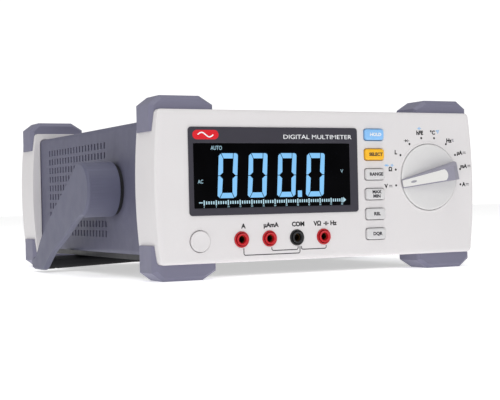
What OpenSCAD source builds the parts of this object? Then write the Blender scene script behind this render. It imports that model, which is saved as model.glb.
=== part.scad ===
// Bench multimeter: a wide instrument case between two end frames with corner bumpers,
// a front panel with display, function dial, six keys, power key and four 4 mm jacks,
// and a carrying handle that swings about two side pivots and doubles as a stand.
// Frame: +X to the right of the panel, +Y to the rear, +Z up, origin under the middle.

/* [Case] */
// Depth from the front face to the rear face
case_d = 275.6; // [260:0.1:300]
// Width of the end frames at their top and bottom edges
frame_w = 222.8; // [221:0.1:224]
// Height of the end frames
frame_h = 91.7; // [91:0.1:93]
// How far the frame sides bulge at mid height
frame_bulge = 2.9; // [2:0.1:3.4]
// Radius of the frames' corners
frame_corner = 2.6; // [2:0.1:6]
// Depth of each end frame
frame_d = 31.5; // [30:0.1:34]
// Thickness of the front wall
panel_t = 3; // [2.5:0.1:3.2]
// Width of the cover between the end frames
cover_w = 214.8; // [214:0.1:215]
// Height of the cover and tray together
cover_h = 82.5; // [82:0.1:83]
// Wall thickness of the cover and tray
cover_t = 2.5; // [2:0.1:2.6]

/* [Bumpers] */
// How far the bumpers lift the frames off the table
bumper_drop = 10; // [9.5:0.1:11]
// How far the bumpers stand above the frames
bumper_rise = 8.6; // [7:0.1:9.5]
// Width across the bumpers
bumper_w = 228.4; // [227:0.1:229]
// Length of the horizontal arm of a bumper
bumper_arm_x = 41.5; // [34:0.1:44]
// Length of the vertical arm of a bumper
bumper_arm_z = 21.4; // [18:0.1:24]
// Depth of a bumper along the case
bumper_d = 24; // [22:0.1:25]
// Setback of a bumper from the face of its frame
bumper_setback = 5.5; // [4.5:0.1:6]
// Bevel on the bumper's front and rear edges
bumper_bevel = 2.5; // [1:0.1:3]

/* [Display] */
// Left edge of the display surround, from the middle of the panel
display_left = -92.8; // [-94:0.1:-92]
// Width of the display surround
display_w = 116.6; // [115:0.1:117.5]
// Bottom edge of the display surround
display_z = 38.4; // [37:0.1:39]
// Height of the display surround
display_h = 52.8; // [52:0.1:53.5]
// Width of the display window
window_w = 107.6; // [106:0.1:108]
// Height of the display window
window_h = 38.7; // [38:0.1:39]

/* [Keys] */
// Column of the six keys
key_x = 36.4; // [36:0.1:38]
// Height of the lowest key
key_z = 24.1; // [23:0.1:24.5]
// Spacing of the keys
key_pitch = 12.6; // [12.2:0.1:12.8]
// Width of a key
key_w = 14; // [13.5:0.1:14.8]
// Height of a key
key_h = 8.2; // [7:0.1:8.4]
// How far a key stands out of the panel
key_proud = 1.8; // [1.3:0.1:2.2]
// Travel of a key
key_travel = 1; // [0.6:0.1:1.1]
// Radius of the power key
power_r = 6.2; // [6:0.1:6.7]
// How far the power key stands out when it is latched in
power_proud = 1.3; // [0.5:0.1:2]

/* [Jacks] */
// Left jack, from the middle of the panel
jack_x = -58.8; // [-60:0.1:-58]
// Height of the jacks
jack_z = 23.6; // [23:0.1:24]
// Spacing of the jacks
jack_pitch = 19; // [18.5:0.1:19.5]
// Inner radius of a jack's brass sleeve
jack_bore_r = 2; // [2:0.01:2.05]

/* [Dial] */
// Middle of the dial, from the middle of the panel
dial_x = 78.2; // [77.5:0.1:79]
// Height of the dial
dial_z = 59.7; // [58:0.1:61]
// Radius of the dial disc
dial_r = 21.4; // [20:0.1:22]
// How far the dial grip stands out of the panel
dial_proud = 12; // [11:0.1:12]
// Direction of the pointer at rest, from +X towards +Z
dial_angle = 191.25; // [180:0.01:202.5]

/* [Handle] */
// Pivot of the handle, back from the front face
pivot_d = 84; // [83:0.1:86]
// Height of the handle pivot
pivot_z = 56.2; // [56:0.1:57]
// Radius of the handle hubs
hub_r = 17.7; // [16:0.1:18]
// Width across the handle
handle_w = 264.2; // [260:0.1:266]
// Thickness of a handle arm
arm_t = 3.6; // [3:0.1:8]
// Radius of the fixed pivot spigots
spigot_r = 8; // [6:0.1:9]

/* [Hidden] */
$fn = 48;
gap = 0.3;                                   // running gap around moving pieces
front = dial_proud - (dial_proud + case_d) / 2;  // Y of the front face
rear = front + case_d;
frame_z = bumper_drop;
frame_top = frame_z + frame_h;
cover_z = frame_z + (frame_h - cover_h) / 2;
cover_top = cover_z + cover_h;
socket_w = cover_w + 0.4;                    // hollow of a frame around the cover
socket_h = cover_h + 0.4;
tuck = 3.5;                                  // how far the cover runs into a frame
window_x = display_left + 3.2;
window_z = display_z + 4.4;
key_stem = panel_t + 2.8;                    // rear end of a key's stem
board_d = 10;                                // front board, back from the front face
board_t = 1.6;
main_z = cover_z + 9;                        // underside of the main board
power_x = -86.3;
power_z = 23.3;
inlet_x = 58;                                // mains inlet on the rear panel
inlet_z = 46;
inlet_w = 27;
inlet_h = 31;
recess_w = 24;                               // the hollow that takes the mains connector
recess_h = 16.4;
recess_d = 18;
rear_recess = 7;                             // rear panel, forward of the rear face
rear_t = 2.5;
boss_x = 100;                                // screw bosses of the end frames
boss_z = [22, 89.7];
collar_t = 2.5;                              // black collar between the cover and a hub
bar_low = 1.9;                               // underside of the handle bar at rest
bar_h = 8.8;
bar_r = 3;
bar_near = 87;                               // handle bar's edges, back from the pivot
bar_far = 107;
bar_waist = 2.4;                             // how far the bar's underside rises to the middle
bar_waist_x = 60;
arm_x = handle_w / 2 - arm_t;
grip_tip = 21.8;                             // ends of the grip, along the pointer
grip_peak = -12.5;
grip_tip_h = 1.8;
dial_slope = atan((dial_proud - grip_tip_h) / (grip_tip - grip_peak));
disc_proud = 1.2;
housing_r = 4.8;                             // plastic housing of a jack
skirt_z = 11.4;                              // lower edge of the tray's skirt
skirt_t = 1.8;
bumper_toe = 8.8;                            // slopes at the ends of a bumper's outline
bumper_toe_h = 5.3;
bumper_slant_x = 7;
bumper_slant_z = 5.2;
vent_cols = 20;
vent_rows = 10;
vent_pitch_y = 6.26;
vent_pitch_z = 6.47;
vent_d = 103;                                // first column, back from the front face
vent_z = 27.2;
vent_w = 2.4;
vent_h = 4.2;
post_x = 100;                                // screw posts of the cover
post_front = 46;
post_rear = 228;
screw_r = 1.5;                               // clearance holes; screws and tapped holes are finer
thread_r = 1.15;
tapped_r = 1.2;
standoff_x = 66;
standoff_front = 60;
standoff_rear = 225;

SHELL = [0.40, 0.40, 0.47];
BUMPER = [0.46, 0.46, 0.54];
PANEL = [0.89, 0.88, 0.87];
DARK = [0.27, 0.27, 0.31];
BOARD = [0.08, 0.36, 0.20];
STEEL = [0.72, 0.73, 0.75];
BRASS = [0.80, 0.65, 0.32];
BLACK = [0.06, 0.06, 0.07];

// ---- shared shapes ----

// Extrudes an X-Z outline from one depth to another, measured back from the front face.
module deep(d0, d1) {
    translate([0, front + d1, 0])
        rotate([90, 0, 0])
            linear_extrude(d1 - d0) children();
}

// Extrudes a Y-Z outline, drawn about the handle pivot, from one X to another.
module across(x0, x1) {
    translate([x0, front + pivot_d, pivot_z])
        rotate([90, 0, 90])
            linear_extrude(x1 - x0) children();
}

// A cylinder along Y at a place on the panel.
module pin_y(x, z, d0, d1, r) {
    deep(d0, d1) translate([x, z]) circle(r);
}

module rounded_rect(w, h, r) {
    square([w, h - 2 * r], center = true);
    square([w - 2 * r, h], center = true);
    for (sx = [-1, 1], sz = [-1, 1])
        translate([sx * (w / 2 - r), sz * (h / 2 - r)]) circle(r);
}

module rect_at(x, z, w, h, r) {
    translate([x + w / 2, z + h / 2]) rounded_rect(w, h, r);
}

// Half width of an end frame at a height, along its bulging side.
side_r = (frame_h * frame_h / 4 + frame_bulge * frame_bulge) / (2 * frame_bulge);
function half_width(z) = frame_w / 2 + frame_bulge - side_r
    + sqrt(side_r * side_r - pow(z - frame_z - frame_h / 2, 2));

module frame_outline(inset) {
    steps = 8;
    low = frame_z + inset + frame_corner;
    rise = (frame_h - 2 * (inset + frame_corner)) / steps;
    corner_x = half_width(low) - inset - frame_corner;
    foot = [for (a = [-90:22.5:-22.5]) [corner_x, low] + frame_corner * [cos(a), sin(a)]];
    side = [for (i = [0:steps]) [half_width(low + i * rise) - inset, low + i * rise]];
    head = [for (a = [22.5:22.5:90])
        [corner_x, low + steps * rise] + frame_corner * [cos(a), sin(a)]];
    right = concat(foot, side, head);
    left = [for (i = [len(right) - 1:-1:0]) [-right[i][0], right[i][1]]];
    polygon(concat(right, left));
}

// The solid block of the front frame, with its front edge rounded off.
module frame_block() {
    hull() {
        deep(0, 0.01) frame_outline(3);
        deep(0.3, 0.31) frame_outline(1.3);
        deep(0.8, 0.81) frame_outline(0.4);
        deep(1.5, frame_d) frame_outline(0);
    }
}

// Turns what is drawn for the front end to face the rear end.
module to_rear() {
    translate([0, front + rear, 0]) mirror([0, 1, 0]) children();
}

// ---- case ----

module front_bezel() {
    color(PANEL) difference() {
        frame_block();
        deep(panel_t, frame_d + 1)
            rect_at(-socket_w / 2, cover_z - 0.2, socket_w, socket_h, 3.2);
        deep(-1, panel_t + 1)
            rect_at(display_left + 1.5, display_z + 1.5, display_w - 3, display_h - 3, 1.5);
        for (i = [0:3]) pin_y(jack_x + i * jack_pitch, jack_z, -1, panel_t + 1, housing_r + 0.05);
        for (i = [0:5]) deep(-1, panel_t + 1)
            translate([key_x, key_z + i * key_pitch]) key_outline(gap);
        pin_y(power_x, power_z, -1, panel_t + 1, power_r + gap);
        pin_y(dial_x, dial_z, -1, 1.6, dial_r + gap);
        pin_y(dial_x, dial_z, -1, panel_t + 1, 5);
    }
    color(PANEL) for (sx = [-1, 1], z = boss_z)
        difference() {
            pin_y(sx * boss_x, z, panel_t, board_d, 3.5);
            pin_y(sx * boss_x, z, panel_t + 1, board_d + 1, tapped_r);
        }
}

module rear_bezel() {
    lip = 3.6;
    web_x = 7;
    color(PANEL) to_rear() difference() {
        frame_block();
        deep(rear_recess, frame_d + 1)
            rect_at(-socket_w / 2, cover_z - 0.2, socket_w, socket_h, 3.2);
        deep(-1, rear_recess + 1)
            rect_at(lip - socket_w / 2, cover_z + lip, socket_w - 2 * lip, socket_h - 2 * lip, 3);
    }
    color(PANEL) to_rear() for (sx = [-1, 1], z = boss_z)
        difference() {
            union() {
                pin_y(sx * boss_x, z, rear_recess + rear_t, frame_d - 6, 3.5);
                translate([sx * (boss_x + 5), front + 17.5, z]) cube([web_x, 16, 3], center = true);
            }
            pin_y(sx * boss_x, z, 0, frame_d - 9, tapped_r);
        }
}

module cover_section() {
    difference() {
        rect_at(-cover_w / 2, cover_z, cover_w, cover_h, 3);
        rect_at(cover_t - cover_w / 2, cover_z + cover_t, cover_w - 2 * cover_t, cover_h - 2 * cover_t, 1);
        translate([cover_t - cover_w / 2, cover_z - 1])
            square([cover_w - 2 * cover_t, cover_t + 2]);
    }
}

module vent_field() {
    for (i = [0:vent_cols - 1], j = [0:vent_rows - 1])
        translate([vent_d - pivot_d + i * vent_pitch_y, vent_z - pivot_z + j * vent_pitch_z])
            square([vent_w, vent_h], center = true);
}

module top_cover() {
    color(SHELL) difference() {
        deep(frame_d - tuck, case_d - frame_d + tuck) cover_section();
        across(-cover_w, cover_w) vent_field();
        across(-cover_w, cover_w) circle(spigot_r + 0.1);
    }
    color(SHELL) for (sx = [-1, 1], d = [post_front, post_rear])
        translate([sx * post_x, front + d, cover_z + cover_t])
            difference() {
                union() {
                    cylinder(h = 22, r = 3.2);
                    translate([sx * 2.5, 0, 11]) cube([4.8, 3, 22], center = true);
                }
                translate([0, 0, -1]) cylinder(h = 16, r = tapped_r);
            }
}

// Low wall under the edges of the tray, between the end frames.
module tray_skirt(w) {
    long = case_d - 2 * frame_d - 0.8;
    tall = cover_z - skirt_z + 0.1;
    translate([-w / 2, front + frame_d + 0.4, skirt_z]) difference() {
        cube([w, long, tall]);
        translate([skirt_t, skirt_t, -1]) cube([w - 2 * skirt_t, long - 2 * skirt_t, tall + 2]);
    }
}

module bottom_tray() {
    tray_w = cover_w - 2 * cover_t - 0.2;
    color(BLACK) difference() {
        union() {
            translate([-tray_w / 2, front + frame_d - tuck, cover_z])
                cube([tray_w, case_d - 2 * frame_d + 2 * tuck, cover_t]);
            for (sx = [-1, 1], d = [standoff_front, standoff_rear])
                translate([sx * standoff_x, front + d, cover_z + cover_t - 0.1])
                    cylinder(h = main_z - cover_z - cover_t + 0.1, r = 3.5);
            translate([power_x - 8, front + 66, cover_z + cover_t - 0.1])
                cube([16, 26, 0.9]);
            tray_skirt(tray_w);
        }
        for (sx = [-1, 1], d = [standoff_front, standoff_rear])
            translate([sx * standoff_x, front + d, cover_z + cover_t])
                cylinder(h = 20, r = tapped_r);
        for (sx = [-1, 1], d = [post_front, post_rear])
            translate([sx * post_x, front + d, cover_z - 1])
                cylinder(h = 20, r = screw_r + 0.2);
    }
}

module rear_panel() {
    color(DARK) difference() {
        deep(case_d - rear_recess - rear_t, case_d - rear_recess)
            rect_at(-cover_w / 2, cover_z, cover_w, cover_h, 3);
        deep(0, case_d)
            rect_at(inlet_x - inlet_w / 2, inlet_z - inlet_h / 2, inlet_w, inlet_h, 1);
        for (sx = [-1, 1], z = boss_z) pin_y(sx * boss_x, z, 0, case_d, screw_r + 0.1);
    }
}

// ---- bumpers ----

// Outline of one corner bumper about the frame's corner edge: z = 0 is the frame's edge.
module bumper_outline(rise, inset) {
    inner = bumper_w / 2 - bumper_arm_x + inset / 2;
    outer = bumper_w / 2 - inset;
    top = rise - inset;
    polygon([
        [inner, -3],
        [inner, top - bumper_toe_h + inset / 2],
        [bumper_w / 2 - bumper_arm_x + bumper_toe, top],
        [bumper_w / 2 - bumper_slant_x, top],
        [outer, top - bumper_slant_z + inset / 2],
        [outer, rise - bumper_arm_z],
        [bumper_w / 2 - 9, rise - bumper_arm_z]
    ]);
}

module bumper(side, top) {
    rise = top ? bumper_rise : bumper_drop;
    d0 = bumper_setback;
    d1 = bumper_setback + bumper_d;
    color(BUMPER) difference() {
        mirror([side < 0 ? 1 : 0, 0, 0])
            translate([0, 0, top ? frame_top : frame_z])
                mirror([0, 0, top ? 0 : 1])
                    hull() {
                        deep(d0, d0 + 0.01) bumper_outline(rise, bumper_bevel);
                        deep(d0 + bumper_bevel, d1 - bumper_bevel) bumper_outline(rise, 0);
                        deep(d1 - 0.01, d1) bumper_outline(rise, bumper_bevel);
                    }
        deep(0, frame_d) frame_outline(0);
    }
}

// ---- display ----

module display_frame() {
    color(DARK) difference() {
        union() {
            deep(-0.8, 0) rect_at(display_left, display_z, display_w, display_h, 2);
            deep(0, panel_t) rect_at(display_left + 1.6, display_z + 1.6,
                display_w - 3.2, display_h - 3.2, 1.4);
        }
        deep(-2, panel_t + 1) rect_at(window_x, window_z, window_w, window_h, 0.6);
    }
}

module display_window() {
    color([0.05, 0.05, 0.07]) deep(-0.4, 1.4)
        rect_at(window_x + 0.05, window_z + 0.05, window_w - 0.1, window_h - 0.1, 0.55);
}

module lcd_panel() {
    color([0.10, 0.12, 0.16]) deep(panel_t + 0.1, panel_t + 2.9)
        rect_at(window_x - 3, window_z - 3, window_w + 6, window_h + 6, 0.5);
}

module backlight() {
    color([0.95, 0.96, 1.0]) deep(panel_t + 2.9, board_d - 0.2)
        rect_at(window_x - 2, window_z - 2, window_w + 4, window_h + 4, 0.5);
}

// ---- boards and what they carry ----

module front_board() {
    color(BOARD) difference() {
        deep(board_d, board_d + board_t) rect_at(-105, 17.2, 210, 76, 1);
        for (i = [0:3]) pin_y(jack_x + i * jack_pitch, jack_z, 0, 20, 5.2);
        pin_y(power_x, power_z, 0, 20, 4);
        pin_y(dial_x, dial_z, 0, 20, 4);
        for (sx = [-1, 1], z = boss_z) pin_y(sx * boss_x, z, 0, 20, screw_r);
    }
}

module tact_switches() {
    face = key_stem + key_travel + gap;
    color(STEEL) for (i = [0:5])
        translate([key_x - 3, front + face, key_z + i * key_pitch - 3])
            cube([6, board_d - face, 6]);
}

module dial_stator() {
    color(BOARD) deep(8.4, board_d) difference() {
        translate([dial_x, dial_z]) circle(19);
        translate([dial_x, dial_z]) circle(4);
    }
}

module jack_block() {
    color(BLACK) difference() {
        deep(board_d + board_t + 0.2, 26) rect_at(jack_x - 9, jack_z - 6.2, 3 * jack_pitch + 18, 15, 1);
        for (i = [0:3]) pin_y(jack_x + i * jack_pitch, jack_z, 0, 30, housing_r + 0.02);
    }
}

module jack_housing(i, tint) {
    x = jack_x + i * jack_pitch;
    color(tint) difference() {
        pin_y(x, jack_z, -1.8, 25, housing_r);
        difference() {
            pin_y(x, jack_z, -3, 16, 4.1);
            pin_y(x, jack_z, -4, 17, 3.7);
        }
        difference() {
            pin_y(x, jack_z, -3, -0.7, 6);
            pin_y(x, jack_z, -4, 1, 3.7);
        }
        pin_y(x, jack_z, -3, 1, 2.3);
        pin_y(x, jack_z, 0.9, 27, 2.72);
    }
}

module jack_sleeve(i) {
    x = jack_x + i * jack_pitch;
    color(BRASS) difference() {
        union() {
            pin_y(x, jack_z, 1, 29, 2.7);
            pin_y(x, jack_z, 25.3, 26.5, 4.4);
        }
        pin_y(x, jack_z, -3, 24, jack_bore_r);
    }
}

module main_board() {
    color(BOARD) difference() {
        translate([-76, front + 40, main_z]) cube([170, 192, board_t]);
        for (sx = [-1, 1], d = [standoff_front, standoff_rear])
            translate([sx * standoff_x, front + d, main_z - 1]) cylinder(h = 4, r = screw_r + 0.2);
    }
}

module transformer_core() {
    color(STEEL) translate([0, front + 172, main_z + board_t]) difference() {
        translate([-22, 0, 0]) cube([44, 22, 38]);
        for (x = [-14.5, 5.5]) translate([x, -1, 7]) cube([9, 24, 24]);
    }
}

module transformer_winding() {
    color([0.78, 0.48, 0.22]) translate([0, front + 172, main_z + board_t + 7.2]) difference() {
        translate([-14.3, -7, 0]) cube([28.6, 36, 23.6]);
        translate([-5.6, -0.1, -1]) cube([11.2, 22.2, 26]);
    }
}

module capacitors() {
    spots = [[-48, 180, 8, 24], [-48, 204, 8, 24], [45, 206, 6.5, 20], [62, 206, 6.5, 20]];
    color([0.12, 0.14, 0.22]) for (p = spots)
        translate([p[0], front + p[1], main_z + board_t]) cylinder(h = p[3], r = p[2]);
}

fuse_x = [-62, -38];
fuse_z = main_z + board_t + 7.5;

module fuse_clips() {
    color(BRASS) for (x = fuse_x, d = [52, 77])
        translate([x, front + d, main_z + board_t]) difference() {
            translate([-4.2, 0, 0]) cube([8.4, 5, 11]);
            translate([0, -1, 7.5]) rotate([-90, 0, 0]) cylinder(h = 7, r = 3.2);
            translate([-2, -1, 7.5]) cube([4, 7, 5]);
        }
}

module fuses() {
    color([0.86, 0.86, 0.82]) for (x = fuse_x)
        translate([x, front + 50, fuse_z]) rotate([-90, 0, 0]) cylinder(h = 34, r = 3.15);
}

module ribbon_cable() {
    color([0.75, 0.75, 0.78]) {
        translate([-20, front + board_d + board_t, 40]) cube([40, 22.4, 0.9]);
        translate([-20, front + board_d + board_t + 21.5, main_z + board_t + 1])
            cube([40, 0.9, 40 - main_z - board_t - 1]);
        translate([-20, front + board_d + board_t + 21.5, main_z + board_t]) cube([40, 16, 1]);
    }
}

module power_switch() {
    color(BLACK) translate([power_x - 7, front + 68, cover_z + cover_t + 0.8])
        cube([14, 22, 11.5]);
}

// ---- mains inlet ----

module power_inlet() {
    face = case_d - rear_recess;
    color(BLACK) difference() {
        union() {
            deep(face, face + 2) rect_at(inlet_x - inlet_w / 2 - 2.5, inlet_z - inlet_h / 2 - 2.5,
                inlet_w + 5, inlet_h + 5, 2);
            deep(face - 24, face)
                rect_at(inlet_x - inlet_w / 2, inlet_z - inlet_h / 2, inlet_w, inlet_h, 1);
        }
        deep(face + 2 - recess_d, face + 3)
            rect_at(inlet_x - recess_w / 2, inlet_z - inlet_h / 2 + 1.5, recess_w, recess_h, 2);
        deep(face - 20, face + 3)
            rect_at(inlet_x - 9.2, inlet_z - inlet_h / 2 + 20.3, 18.4, 8.4, 0.6);
    }
}

module inlet_pins() {
    floor_d = case_d - rear_recess + 2 - recess_d;
    mid_z = inlet_z - inlet_h / 2 + 1.5 + recess_h / 2;
    color(BRASS) for (p = [[-7, -2], [0, 2], [7, -2]])
        translate([inlet_x + p[0] - 1, front + floor_d, mid_z + p[1] - 2])
            cube([2, 12, 4]);
}

module inlet_fuse_drawer() {
    face = case_d - rear_recess;
    color(BLACK) deep(face - 19.8, face + 2.6)
        rect_at(inlet_x - 9, inlet_z - inlet_h / 2 + 20.5, 18, 8, 0.5);
}

// ---- pivots and screws ----

module pivot_spigot(side) {
    seat = cover_w / 2;
    color(BLACK) mirror([side < 0 ? 1 : 0, 0, 0]) {
        across(seat, seat + collar_t) circle(hub_r - 1.4);
        across(seat - 4, cover_w / 2 + 11) circle(spigot_r);
    }
}

module screw(length, head_r, head_h) {
    cylinder(h = length, r = thread_r);
    translate([0, 0, -head_h]) difference() {
        cylinder(h = head_h, r = head_r);
        translate([-head_r * 0.6, -0.3, -1]) cube([head_r * 1.2, 0.6, 1.7]);
        translate([-0.3, -head_r * 0.6, -1]) cube([0.6, head_r * 1.2, 1.7]);
    }
}

module tray_screws() {
    color(STEEL) for (sx = [-1, 1], d = [post_front, post_rear])
        translate([sx * post_x, front + d, cover_z]) screw(14, 2.8, 1.8);
}

module board_screws() {
    color(STEEL) for (sx = [-1, 1], d = [standoff_front, standoff_rear])
        translate([sx * standoff_x, front + d, main_z + board_t]) mirror([0, 0, 1]) screw(7, 2.8, 1.8);
    color(STEEL) for (sx = [-1, 1], z = boss_z)
        translate([sx * boss_x, front + board_d + board_t, z]) rotate([90, 0, 0]) screw(6, 2.6, 1.6);
}

module rear_screws() {
    color(STEEL) for (sx = [-1, 1], z = boss_z)
        translate([sx * boss_x, rear - rear_recess, z]) rotate([90, 0, 0]) screw(12, 2.8, 1.8);
}

// ---- dial ----

module on_dial(angle) {
    translate([dial_x, front, dial_z]) rotate([0, -angle, 0]) children();
}

module dial_disc() {
    color([0.82, 0.82, 0.84]) difference() {
        pin_y(dial_x, dial_z, -disc_proud, 1.3, dial_r);
        pin_y(dial_x, dial_z, -2, 2, 3);
    }
}

// Plan of the white insert on the sloping top of the grip, pointing along +X.
module inlay_plan() {
    polygon([[-6, 3.6], [-6, -3.6], [23.2, -2.2], [23.2, 2.2]]);
    translate([-3.3, 0]) intersection() {
        circle(4.5);
        translate([-4.5, -3.6]) square([4.5, 7.2]);
    }
}

module inlay_body() {
    translate([grip_peak, -dial_proud, 0]) rotate([0, 0, dial_slope])
        translate([-grip_peak, 0.45, 0]) rotate([90, 0, 0]) linear_extrude(0.6) inlay_plan();
}

// Thin slab of the grip: from the middle u along the pointer, out at height h, half width w.
module grip_slab(u, h, w) {
    translate([u - 0.05, -h - 0.1, -w]) cube([0.1, 0.1, 2 * w]);
}

module dial_grip() {
    color([0.52, 0.51, 0.58]) on_dial(dial_angle) difference() {
        translate([0, -disc_proud, 0]) hull() {
            grip_slab(grip_tip, 0, 2.9);
            grip_slab(grip_tip, grip_tip_h - disc_proud - 0.1, 2.7);
            grip_slab(grip_peak, dial_proud - disc_proud - 0.1, 4.7);
            grip_slab(-20, 4, 5.8);
            grip_slab(-21, 0, 6.2);
        }
        inlay_body();
    }
}

module dial_inlay() {
    color([0.95, 0.95, 0.94]) on_dial(dial_angle) inlay_body();
}

module dial_shaft() {
    color(STEEL) pin_y(dial_x, dial_z, -disc_proud, 14, 2.98);
}

module dial_rotor() {
    color(BLACK) difference() {
        union() {
            pin_y(dial_x, dial_z, 6.2, 8.1, 17);
            pin_y(dial_x, dial_z, 4, 6.2, 6);
        }
        pin_y(dial_x, dial_z, 0, 10, 3);
    }
}

// ---- handle ----

// Side view of an arm about the pivot, with the round end of the bar at its foot.
module arm_outline() {
    foot = bar_low - pivot_z;
    circle(hub_r);
    polygon([
        [7.9, 15.8], [21.4, 7.6], [50.8, -9.7], [82.7, -29.9], [94.5, foot + bar_h + 2.6], [97, foot + bar_h],
        [bar_far - bar_r, foot + bar_h], [bar_far, foot + bar_h - bar_r], [bar_far, foot + bar_r],
        [bar_far - bar_r, foot], [80, foot], [66, -46.3], [55.5, -40.3], [30, -30.1], [-6.5, -16.4]
    ]);
}

module bar_outline() {
    translate([(bar_near + bar_far) / 2, bar_low + bar_h / 2 - pivot_z])
        rounded_rect(bar_far - bar_near, bar_h, bar_r);
}

module handle_arm(side) {
    hub_x = cover_w / 2 + collar_t + gap;
    color(BUMPER) mirror([side < 0 ? 1 : 0, 0, 0]) difference() {
        union() {
            across(arm_x, handle_w / 2) arm_outline();
            across(hub_x, arm_x + 0.1) circle(hub_r);
        }
        across(hub_x - 1, cover_w / 2 + 11 + gap) circle(spigot_r + 0.05);
    }
}

module handle_crossbar() {
    bar_top = bar_low + bar_h;
    color([0.10, 0.10, 0.12]) intersection() {
        across(-arm_x, arm_x) bar_outline();
        deep(pivot_d + bar_near - 1, pivot_d + bar_far + 1) polygon([
            [-arm_x, bar_low], [-bar_waist_x, bar_low + bar_waist], [bar_waist_x, bar_low + bar_waist],
            [arm_x, bar_low], [arm_x, bar_top], [-arm_x, bar_top]
        ]);
    }
}

// ---- keys ----

// A key seen from the front: barrel shaped, with its top and bottom edges bowed out.
module key_outline(grow) {
    w = key_w / 2 + grow;
    h = key_h / 2 + grow;
    bow = 0.9;
    bow_r = (w * w + bow * bow) / (2 * bow);
    intersection() {
        translate([0, h - bow_r]) circle(bow_r);
        translate([0, bow_r - h]) circle(bow_r);
        rounded_rect(2 * w, 2 * h, 1.6);
    }
}

module button(i, tint) {
    color(tint) translate([key_x, 0, key_z + i * key_pitch]) {
        deep(-key_proud, panel_t + gap) key_outline(0);
        deep(panel_t + gap, panel_t + 1.6) rounded_rect(key_w + 2.4, key_h + 2.4, 1);
        deep(panel_t + 1.6, key_stem) circle(1.6);
    }
}

module power_button() {
    color([0.87, 0.86, 0.85]) {
        pin_y(power_x, power_z, -power_proud, panel_t + 4, power_r);
        pin_y(power_x, power_z, panel_t + 4, 67.5, 1.9);
    }
}

front_bezel();
rear_bezel();
top_cover();
bottom_tray();
rear_panel();
bumper(-1, true);  // bumper_front_top_left
bumper(1, true);  // bumper_front_top_right
bumper(-1, false);  // bumper_front_bottom_left
bumper(1, false);  // bumper_front_bottom_right
to_rear() bumper(-1, true);  // bumper_rear_top_left
to_rear() bumper(1, true);  // bumper_rear_top_right
to_rear() bumper(-1, false);  // bumper_rear_bottom_left
to_rear() bumper(1, false);  // bumper_rear_bottom_right
display_frame();
display_window();
lcd_panel();
backlight();
front_board();
tact_switches();
dial_stator();
jack_block();
jack_housing(0, "crimson");  // jack_housing_a
jack_housing(1, "crimson");  // jack_housing_ma
jack_housing(2, BLACK);  // jack_housing_com
jack_housing(3, "crimson");  // jack_housing_v
jack_sleeve(0);  // jack_sleeve_a
jack_sleeve(1);  // jack_sleeve_ma
jack_sleeve(2);  // jack_sleeve_com
jack_sleeve(3);  // jack_sleeve_v
main_board();
transformer_core();
transformer_winding();
capacitors();
fuse_clips();
fuses();
ribbon_cable();
power_switch();
power_inlet();
inlet_pins();
inlet_fuse_drawer();
pivot_spigot(-1);  // pivot_spigot_left
pivot_spigot(1);  // pivot_spigot_right
tray_screws();
board_screws();
rear_screws();
dial_disc();
dial_grip();
dial_inlay();
dial_shaft();
dial_rotor();
handle_arm(-1);  // handle_arm_left
handle_arm(1);  // handle_arm_right
handle_crossbar();
button(5, [0.58, 0.78, 0.96]);  // button_hold
button(4, [0.98, 0.77, 0.18]);  // button_select
button(3, PANEL);  // button_range
button(2, PANEL);  // button_max_min
button(1, PANEL);  // button_rel
button(0, PANEL);  // button_dqr
power_button();
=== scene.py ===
"""Looks of the bench multimeter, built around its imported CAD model.

Everything is in metres in the model's own frame: +X to the right of the panel, +Y to the rear, +Z up.
"""

import math

import bmesh
import bpy
from mathutils import Matrix, Vector


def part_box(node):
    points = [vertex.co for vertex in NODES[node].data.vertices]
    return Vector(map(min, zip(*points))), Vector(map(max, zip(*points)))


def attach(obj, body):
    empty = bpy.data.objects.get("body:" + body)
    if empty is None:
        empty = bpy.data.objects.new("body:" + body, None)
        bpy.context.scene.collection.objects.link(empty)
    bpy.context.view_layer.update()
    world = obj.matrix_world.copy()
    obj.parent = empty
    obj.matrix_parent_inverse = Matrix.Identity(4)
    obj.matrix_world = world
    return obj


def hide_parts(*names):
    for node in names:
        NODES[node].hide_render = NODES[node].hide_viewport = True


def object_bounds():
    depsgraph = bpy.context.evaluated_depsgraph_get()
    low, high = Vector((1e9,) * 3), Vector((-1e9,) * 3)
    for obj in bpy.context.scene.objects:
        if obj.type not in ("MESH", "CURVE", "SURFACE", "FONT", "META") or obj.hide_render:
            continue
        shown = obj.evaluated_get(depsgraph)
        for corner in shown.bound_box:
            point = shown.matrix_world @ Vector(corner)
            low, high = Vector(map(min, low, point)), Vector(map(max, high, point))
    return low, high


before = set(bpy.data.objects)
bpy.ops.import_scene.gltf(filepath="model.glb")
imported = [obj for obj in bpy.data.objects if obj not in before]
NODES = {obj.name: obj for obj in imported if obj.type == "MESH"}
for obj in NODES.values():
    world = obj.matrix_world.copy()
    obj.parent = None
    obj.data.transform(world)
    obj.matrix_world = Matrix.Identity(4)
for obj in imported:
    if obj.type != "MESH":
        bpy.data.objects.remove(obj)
cad_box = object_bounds()
scene = bpy.context.scene

MM = 0.001


def middle(node):
    """Middle of a CAD node's box."""
    low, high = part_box(node)
    return (low + high) / 2


# ---- places and sizes that come from the frame ----

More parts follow.
